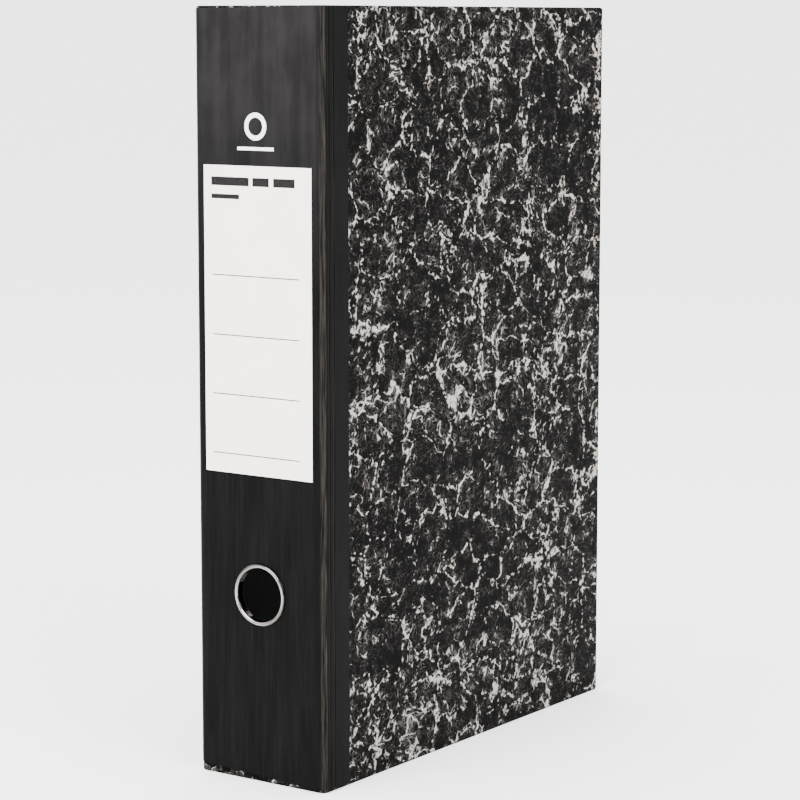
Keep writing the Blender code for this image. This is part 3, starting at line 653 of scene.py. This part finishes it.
paper = marbled_paper()
cloth = black_cloth()
lining = plain_paper("lining_paper", *LINING_GREY, 0.82, "grain")
board = plain_paper("greyboard", *BOARD_GREY, 0.88)
nickel = metal("nickel", *NICKEL, 0.13, (1.0, 1.0, 0.12))
ring_nickel = metal("ring_nickel", *NICKEL, 0.10, (1.0, 1.0, 0.12), ring_shade)
dull_nickel = metal("dull_nickel", *DULL_NICKEL, 0.26, (1.0, 1.0, 1.0))
steel = metal("bright_steel", *STEEL, 0.30, (0.2, 1.0, 1.0))
make_case(1, "front", "front_cover", paper, cloth, lining)
make_case(-1, "back", "back_cover", paper, cloth, lining)
look(["spine_board", "front_cover_board", "back_cover_board"], board)
look(["spine_label"], label_paper())
look(["finger_ring_front", "finger_ring_back"], ring_nickel)
look(["lower_post", "upper_post", "arch_wire"], nickel)
look(["rivet_1", "rivet_2", "rivet_3", "rivet_4"], dull_nickel, 0.12)
look(["lever_arm", "compressor_bar"], nickel, 0.15)
look(["mechanism_base_plate", "lower_compressor_clip", "upper_compressor_clip"], steel, 0.15)
look(["arch_crank_plate", "lever_roller", "lever_pivot_pin", "roller_pin"], steel, 0.12)
look(["arch_spring"], steel)
look(["lever_grip"], black_plastic(), 0.35)


# --- the room

def soft_light(name, place, aim, size, power):
    data = bpy.data.lights.new(name, "AREA")
    data.shape = "RECTANGLE"
    data.size, data.size_y = size
    data.energy = power
    made = bpy.data.objects.new(name, data)
    made.location = place
    made.rotation_euler = (Vector(aim) - Vector(place)).to_track_quat("-Z", "Y").to_euler()
    bpy.context.collection.objects.link(made)


def add_floor():
    bpy.ops.mesh.primitive_plane_add(size=FLOOR_SIZE, location=(0.0, 0.0, 0.0))
    ground = bpy.context.object
    ground.name = "ground"
    ground.data.materials.append(Nodes("floor", colour=FLOOR_GREY, roughness=0.75).material)


def add_studio():
    """A white surround, brighter upwards and behind the camera's back than behind the object."""
    world = bpy.data.worlds.new("studio")
    world.use_nodes = True
    nodes = world.node_tree.nodes
    link = world.node_tree.links.new
    nodes["Background"].inputs["Color"].default_value = (1.0, 1.0, 1.0, 1.0)
    direction = nodes.new("ShaderNodeTexCoord").outputs["Generated"]

    facing = nodes.new("ShaderNodeVectorMath")
    facing.operation = "DOT_PRODUCT"
    facing.inputs[1].default_value = Vector((CAMERA_PLACE[0], CAMERA_PLACE[1], 0.0)).normalized()
    link(direction, facing.inputs[0])

    fall = nodes.new("ShaderNodeMapRange")
    fall.interpolation_type = "SMOOTHSTEP"
    for socket, value in (("From Min", -WORLD_EDGE), ("From Max", WORLD_EDGE), ("To Min", WORLD_LIGHT),
                          ("To Max", WORLD_LIGHT * WORLD_SHADE)):
        fall.inputs[socket].default_value = value
    link(facing.outputs["Value"], fall.inputs["Value"])

    split = nodes.new("ShaderNodeSeparateXYZ")
    link(direction, split.inputs[0])
    above = nodes.new("ShaderNodeMath")
    above.operation = "MAXIMUM"
    above.inputs[1].default_value = 0.0
    link(split.outputs["Z"], above.inputs[0])

    rise = nodes.new("ShaderNodeMath")
    rise.operation = "MULTIPLY_ADD"
    rise.inputs[1].default_value = WORLD_RISE
    link(above.outputs[0], rise.inputs[0])
    link(fall.outputs["Result"], rise.inputs[2])
    link(rise.outputs[0], nodes["Background"].inputs["Strength"])
    bpy.context.scene.world = world


def add_camera():
    eye = bpy.data.cameras.new("camera")
    eye.lens = CAMERA_LENS
    eye.sensor_width = SENSOR
    eye.shift_y = CAMERA_SHIFT
    camera = bpy.data.objects.new("camera", eye)
    camera.location = CAMERA_PLACE
    camera.rotation_euler = CAMERA_TURN
    bpy.context.collection.objects.link(camera)
    bpy.context.scene.camera = camera


add_floor()
add_studio()
for light in LIGHTS:
    soft_light(*light)
add_camera()
